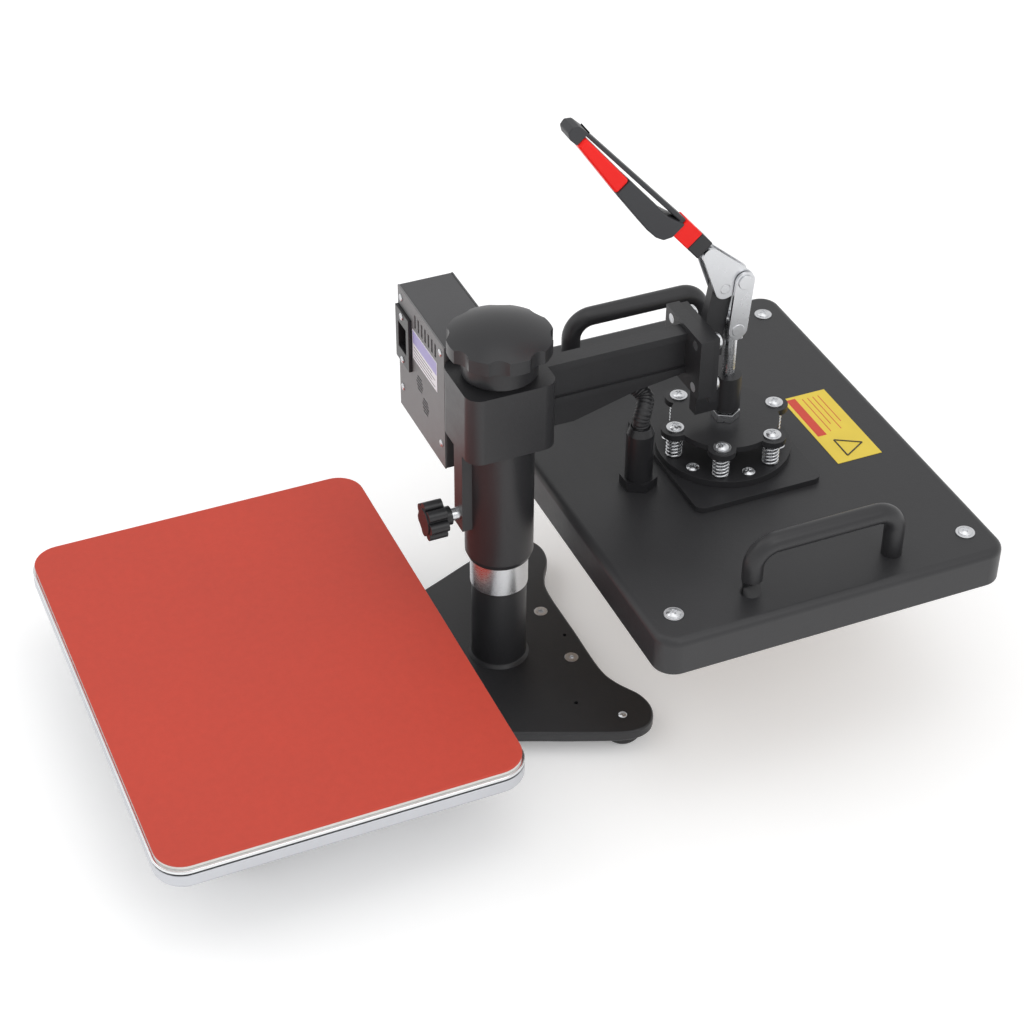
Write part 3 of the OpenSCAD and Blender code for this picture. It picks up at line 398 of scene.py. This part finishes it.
def turned(bm, profile, centre, axis="Z", steps=48, index=0):
    """Solid of revolution from [radius, height] pairs in mm, about an axis through centre."""
    start = [bm.verts.new((r * MM, 0, h * MM)) for r, h in profile]
    chain = [bm.edges.new(pair) for pair in zip(start, start[1:])]
    before = set(bm.faces)
    bmesh.ops.spin(bm, geom=start + chain, cent=(0, 0, 0), axis=(0, 0, 1), dvec=(0, 0, 0),
                   angle=math.tau, steps=steps, use_merge=True, use_duplicate=False)
    faces = [f for f in bm.faces if f not in before]
    verts = list({v for f in faces for v in f.verts})
    turn = {"Z": Matrix(), "X": Matrix.Rotation(math.pi / 2, 4, "Y"),
            "-Y": Matrix.Rotation(math.pi / 2, 4, "X"),
            "Y": Matrix.Rotation(-math.pi / 2, 4, "X"),
            "-Z": Matrix.Rotation(math.pi, 4, "X")}[axis]
    bmesh.ops.transform(bm, matrix=Matrix.Translation(Vector(centre) * MM) @ turn, verts=verts)
    bmesh.ops.remove_doubles(bm, verts=verts, dist=1e-6)
    faces = [f for f in bm.faces if f not in before]
    for f in faces:
        f.material_index = index
    bmesh.ops.recalc_face_normals(bm, faces=faces)


def curve_points(route, steps):
    """Smooth points along a route, passing through each of its own."""
    line = []
    for i in range(len(route) - 1):
        a, b, c, d = (Vector(route[max(0, min(len(route) - 1, i + k))]) for k in (-1, 0, 1, 2))
        for k in range(steps):
            t = k / steps
            line.append(0.5 * (2 * b + (c - a) * t + (2 * a - 5 * b + 4 * c - d) * t * t
                               + (3 * b - a - 3 * c + d) * t ** 3))
    return line + [Vector(route[-1])]


def even_points(line, gap):
    """The same line with points an even distance apart."""
    out, left = [line[0]], gap
    for a, b in zip(line, line[1:]):
        length = (b - a).length
        place = left
        while place <= length:
            out.append(a.lerp(b, place / length))
            place += gap
        left = place - length
    return out


def swept(bm, line, radius, sides=24, index=0):
    """Tube along a line of points in mm; radius is a number or a function of the ring's number."""
    rings, up = [], Vector((0.31, 0.17, 0.93)).normalized()
    for i, point in enumerate(line):
        along = (line[min(i + 1, len(line) - 1)] - line[max(i - 1, 0)]).normalized()
        side = (up - along * up.dot(along)).normalized()
        up = side
        turn = Matrix((side, along.cross(side), along)).transposed().to_4x4()
        r = radius(i) if callable(radius) else radius
        made = bmesh.ops.create_circle(bm, cap_ends=False, segments=sides, radius=r * MM,
                                       matrix=Matrix.Translation(point * MM) @ turn)
        rings.append(made["verts"])
    before = set(bm.faces)
    for first, second in zip(rings, rings[1:]):
        for k in range(sides):
            bm.faces.new((first[k], first[(k + 1) % sides], second[(k + 1) % sides], second[k]))
    bm.faces.new(rings[0][::-1])
    bm.faces.new(rings[-1])
    faces = [f for f in bm.faces if f not in before]
    for f in faces:
        f.material_index = index
    bmesh.ops.recalc_face_normals(bm, faces=faces)


def block(bm, low, high, index=0, ease=0.0):
    """Box between two corners in mm, with eased edges."""
    made = bmesh.ops.create_cube(bm, size=1.0)
    size = Vector(high) - Vector(low)
    bmesh.ops.scale(bm, vec=size * MM, verts=made["verts"])
    bmesh.ops.translate(bm, vec=(Vector(low) + size / 2) * MM, verts=made["verts"])
    faces = {f for v in made["verts"] for f in v.link_faces}
    for f in faces:
        f.material_index = index
    if ease:
        round_edges(bm, list({e for f in faces for e in f.edges}), ease, 2)


# ---------------------------------------------------------------- base and lower platen

def base():
    low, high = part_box("base_plate")
    eased("base_plate", 2.2, 4, pick=lambda e: all(
        abs(v.co.z - low.z) < 1e-4 or abs(v.co.z - high.z) < 1e-4 for v in e.verts)
        and not in_hole(e))
    eased("post_flange", 0.8)
    eased("rubber_feet", 1.0, 3, 40)
    eased("foot_screws", 0.25, 2)
    eased("base_screws", 0.25, 2)
    eased("tray_stand", 1.0)
    eased("post_tube", 0.8, 3, 40)
    eased("journal_sleeve", 0.6, 3)
    eased("screw_nut", 0.4)


def in_hole(edge):
    """True for an edge on the rim of one of the base plate's screw or post holes."""
    middle = (edge.verts[0].co + edge.verts[1].co) / 2 / MM
    x, y = abs(middle.x), middle.y - COLUMN_Y
    near = [(0, 0, 24), (31, 51, 8), (31, -51, 8), (31, -163, 6), (31, -225, 6),
            (109, 60, 5), (109, -254, 5), (4, 57, 3), (82, 32, 3)]
    return any(math.hypot(x - hx, y - hy) < r for hx, hy, r in near)


def lower_platen():
    centre = (0, -PLATEN_REACH + COLUMN_Y)
    bm = bmesh.new()
    rounded_slab(bm, (384, 284), 24, (63, 76.2), centre, top=0.6, bottom=5.0, index=0)
    # The inset band below the lip takes the near-black groove finish: painted shade in the groove.
    rounded_slab(bm, (380.4, 280.4), 22.4, (76.1, 78.0), centre, top=0, bottom=0, index=1)
    rounded_slab(bm, (384, 284), 24, (77.9, 80.5), centre, top=0.9, bottom=0.5, index=2)
    finish_piece("tray_shell", bm, [FINISHES["tray_aluminium"], GROOVE_PAINTED_SHADE, LIP_BRIGHT],
                 ("platen_tray",))
    bm = bmesh.new()
    rounded_slab(bm, (379, 279), 21.5, (80.5, 83.5), centre, top=0.9, bottom=0.4)
    foam = finish_piece("foam_sheet", bm, FINISHES["foam"], ("foam_layer",))
    bm = bmesh.new()
    rounded_slab(bm, (380, 280), 22, (83.5, 86), centre, top=0.8, bottom=0.5)
    pad = finish_piece("silicone_sheet", bm, FINISHES["silicone"], ("silicone_pad",))


# ---------------------------------------------------------------- column and arm

def column_and_arm():
    eased("thrust_washer", 0.3)
    eased("arm_casting", 1.6, 4, 30)
    eased("arm_bushes", 0.4)
    eased("pressure_knob", 2.0, 4, 30)
    eased("lead_screw", 0.5)
    eased("lock_pad", 0.3)
    eased("lock_screw", 0.5)
    eased("lock_knob", 1.8, 4, 40)


def control_box():
    eased("box_shell", 0.9)
    eased("box_back_panel", 0.3, 2)
    eased("box_front_panel", 0.3, 2)
    eased("box_screws", 0.15, 2)
    eased("power_inlet", 0.5, 3)
    eased("display_window", 0.5)
    eased("circuit_board", 0.2, 2)
    eased("switch_housing", 0.5)
    eased("rocker", 0.6)
    for key in ("set_button", "shift_button", "up_button", "down_button"):
        eased(key, 0.7)


def rating_plate():
    """Label with a tinted panel above four lines."""
    low, high = (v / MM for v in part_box("rating_label"))
    x0, x1, z0, z1, y = low.x, high.x, low.z, high.z, low.y
    split = z0 + (z1 - z0) * 0.55
    bm = bmesh.new()
    block(bm, (x0, y, z0), (x1, high.y, z1), 0)
    block(bm, (x0 + 0.8, y - 0.05, split), (x1 - 0.8, y + 0.1, z1 - 0.8), 1)
    for i in range(4):
        z = z0 + 2.2 + i * 3.1
        block(bm, (x0 + 3, y - 0.05, z), (x1 - 4 - 6 * (i % 2), y + 0.1, z + 0.7), 2)
    finish_piece("rating_plate", bm, [FINISHES["label_white"], LABEL_VIOLET, LABEL_DARK],
                 ("rating_label",))


# ---------------------------------------------------------------- toggle and lever

def toggle():
    eased("clamp_frame", 0.7, 3)
    eased("clamp_bolts", 0.3, 3)
    eased("fulcrum_pin", 0.5, 3)
    eased("lever_bar", 0.6, 3)
    eased("link_plates", 0.5, 3)
    eased("link_pin", 0.25, 2)
    eased("plunger_rod", 0.6, 3)
    eased("plunger_nuts", 0.4, 2)
    eased("lever_ferrule", 1.5, 4)
    eased("lever_collar", 1.2, 4)
    eased("grip_body", 2.4, 5, 20)
    eased("grip_shell", 2.6, 5, 20)


# ---------------------------------------------------------------- sprung plates

def sprung_plates():
    eased("star_plate", 0.7, 3)
    eased("spring_screws", 0.3, 2)
    eased("spring_disc", 0.8, 3)
    eased("mount_plate", 0.8, 3)
    springs()


def springs():
    """Compression springs between the star plate and the round plate."""
    wire, coil, low, high, turns = 1.1, 5.7, 178, 198, 7
    bm = bmesh.new()
    for i in range(SPRING_COUNT):
        angle = math.radians(90 + 360 / SPRING_COUNT * i)
        centre = Vector((SPRING_PCD_RADIUS * math.cos(angle),
                         PLATEN_REACH + COLUMN_Y + SPRING_PCD_RADIUS * math.sin(angle),
                         low + wire))
        rise = high - low - 2 * wire
        steps = turns * 28
        line = []
        for k in range(steps + 1):
            t = k / steps
            lift = min(1, max(0, (t * turns - 0.75) / (turns - 1.5)))
            turn = math.tau * turns * t
            line.append(centre + Vector((coil * math.cos(turn), coil * math.sin(turn),
                                         rise * lift)))
        swept(bm, line, wire, 8)
    coils = finish_piece("coil_springs", bm, FINISHES["bright_steel"], weighted=False, sharp=60)
    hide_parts("platen_springs")
    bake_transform(coils)


# ---------------------------------------------------------------- upper platen

def upper_platen():
    centre = (0, PLATEN_REACH + COLUMN_Y)
    bm = bmesh.new()
    rounded_slab(bm, (388, 294), 17, (135, 167), centre, top=6.5, bottom=0.8, segments=8)
    finish_piece("cover_shell", bm, COVER_COAT, ("platen_cover",))
    eased("heater_block", 0.8)
    eased("insulation", 0.5)
    eased("nonstick_face", 0.3, 2)
    eased("platen_screws", 0.3, 2)
    carry_handles()
    eased("cable_gland", 0.6, 3)


def carry_handles():
    """Two bent bars, each with a round foot at either end."""
    bm = bmesh.new()
    for x in (-163, 163):
        y0, y1 = PLATEN_REACH - 60 + COLUMN_Y, PLATEN_REACH + 60 + COLUMN_Y
        top, bend = 209, 18
        line = [Vector((x, y0, 167)), Vector((x, y0, 180))]
        for y, side in ((y0, 1), (y1, -1)):
            middle = Vector((x, y + side * bend, top - bend))
            arc = [middle + bend * Vector((0, -side * math.cos(a), math.sin(a)))
                   for a in [math.radians(k * 7.5) for k in range(13)]]
            line += arc if side == 1 else arc[::-1]
        line += [Vector((x, y1, 180)), Vector((x, y1, 167))]
        swept(bm, line, 8, 32)
        for y in (y0, y1):
            turned(bm, [(0, 157), (3, 157), (3, 167.2), (0, 167.2)], (x, y, 0), steps=16)
    finish_piece("carry_handles", bm, FINISHES["painted_steel"], ("handles",), weighted=False)


def heater_conduit():
    """Corrugated conduit from the control box, under the arm, down into the gland."""
    out = Vector((-50, 5.5, 222))
    route = [out, out + Vector((0, 11, 0)), (-42, 27.5, 226), (-26, 46, 238), (-17, 66, 251),
             (-14.5, 90, 255), (-12, 110, 251), (0, 121, 243), (9, 117, 237), (11, 114, 229),
             (11, 114, 223), (11, 114, 197)]
    line = [Vector(p) + Vector((0, COLUMN_Y, 0)) for p in curve_points(route, 12)]
    line = even_points(line, 0.65)
    ridge = (6.35, 6.8, 7.0, 6.8)
    bm = bmesh.new()
    swept(bm, line, lambda i: ridge[i % 4], 20)
    conduit = finish_piece("heater_conduit", bm, FINISHES["cable_jacket"], weighted=False,
                           sharp=70)
    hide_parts("heater_cable")
    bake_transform(conduit)


def warning_plate():
    """Label with a heading bar, four lines and a triangle, none of them lettering."""
    low, high = (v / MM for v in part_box("warning_label"))
    x0, x1, y0, y1, z = low.x, high.x, low.y, high.y, high.z
    bm = bmesh.new()
    block(bm, (x0, y0, low.z), (x1, y1, z), 0)
    block(bm, (x0 + 3, y0 + 3, z - 0.1), (x0 + 57, y0 + 11, z + 0.05), 1)
    for i in range(4):
        y = y0 + 16 + i * 4.8
        block(bm, (x0 + 6, y, z - 0.1), (x0 + 54 - 9 * (i % 2), y + 0.7, z + 0.05), 1)
    corners = [Vector((x1 - 18 + 13 * math.sin(a), y0 + 19 - 13 * math.cos(a), z))
               for a in (math.pi, math.pi / 3, -math.pi / 3)]
    for a, b in zip(corners, corners[1:] + corners[:1]):
        swept(bm, [a, a.lerp(b, 0.5), b], 0.7, 6, 2)
    finish_piece("warning_plate", bm, [FINISHES["label_yellow"], LABEL_RED, LABEL_DARK],
                 ("warning_label",), weighted=False)


# ---------------------------------------------------------------- studio

def studio():
    bm = bmesh.new()
    bmesh.ops.create_grid(bm, x_segments=1, y_segments=1, size=6.0)
    mesh = bpy.data.meshes.new("studio_floor")
    bm.to_mesh(mesh)
    bm.free()
    floor = bpy.data.objects.new("studio_floor", mesh)
    bpy.context.scene.collection.objects.link(floor)
    floor.location.z = -0.0002
    paper = Finish("pale_floor", (0.93, 0.93, 0.93), 0.9, Emission_Color=(1, 1, 1, 1),
                   Emission_Strength=0.22)
    paper.tone(paper.noise(3, 2), 0.99, 1.0)
    mesh.materials.append(paper.material)
    world = bpy.data.worlds.new("studio_air")
    world.use_nodes = True
    world.node_tree.nodes["Background"].inputs[0].default_value = (1, 1, 1, 1)
    world.node_tree.nodes["Background"].inputs[1].default_value = 0.80
    bpy.context.scene.world = world
    for name, place, size, power in (
            ("softbox_left", (-1.2, -1.6, 2.2), 1.6, 7),
            ("softbox_right", (2.2, 0.8, 2.4), 1.4, 9),
            ("softbox_top", (0.2, 0.2, 2.8), 2.0, 9)):
        light = bpy.data.lights.new(name, "AREA")
        light.size = size
        light.energy = power
        holder = bpy.data.objects.new(name, light)
        holder.location = place
        aim = Vector((0, 0, 0.15)) - Vector(place)
        holder.rotation_euler = aim.to_track_quat("-Z", "Y").to_euler()
        bpy.context.scene.collection.objects.link(holder)
    bpy.context.scene.view_settings.view_transform = "Standard"


def camera():
    azimuth, drop, roll = math.radians(66.61), math.radians(38.13), math.radians(0.43)
    look = Vector((-math.sin(azimuth) * math.cos(drop), math.cos(azimuth) * math.cos(drop),
                   -math.sin(drop)))
    lens = bpy.data.cameras.new("camera")
    lens.sensor_width = 36
    lens.lens = 81.25
    lens.clip_end = 20
    holder = bpy.data.objects.new("camera", lens)
    turn = look.to_track_quat("-Z", "Y").to_matrix().to_4x4()
    holder.matrix_world = (Matrix.Translation(Vector((1.2988, -0.5534, 1.2720))) @ turn
                           @ Matrix.Rotation(roll, 4, "Z"))
    bpy.context.scene.collection.objects.link(holder)
    bpy.context.scene.camera = holder


camera()
studio()
base()
lower_platen()
column_and_arm()
control_box()
rating_plate()
toggle()
sprung_plates()
upper_platen()
warning_plate()
heater_conduit()
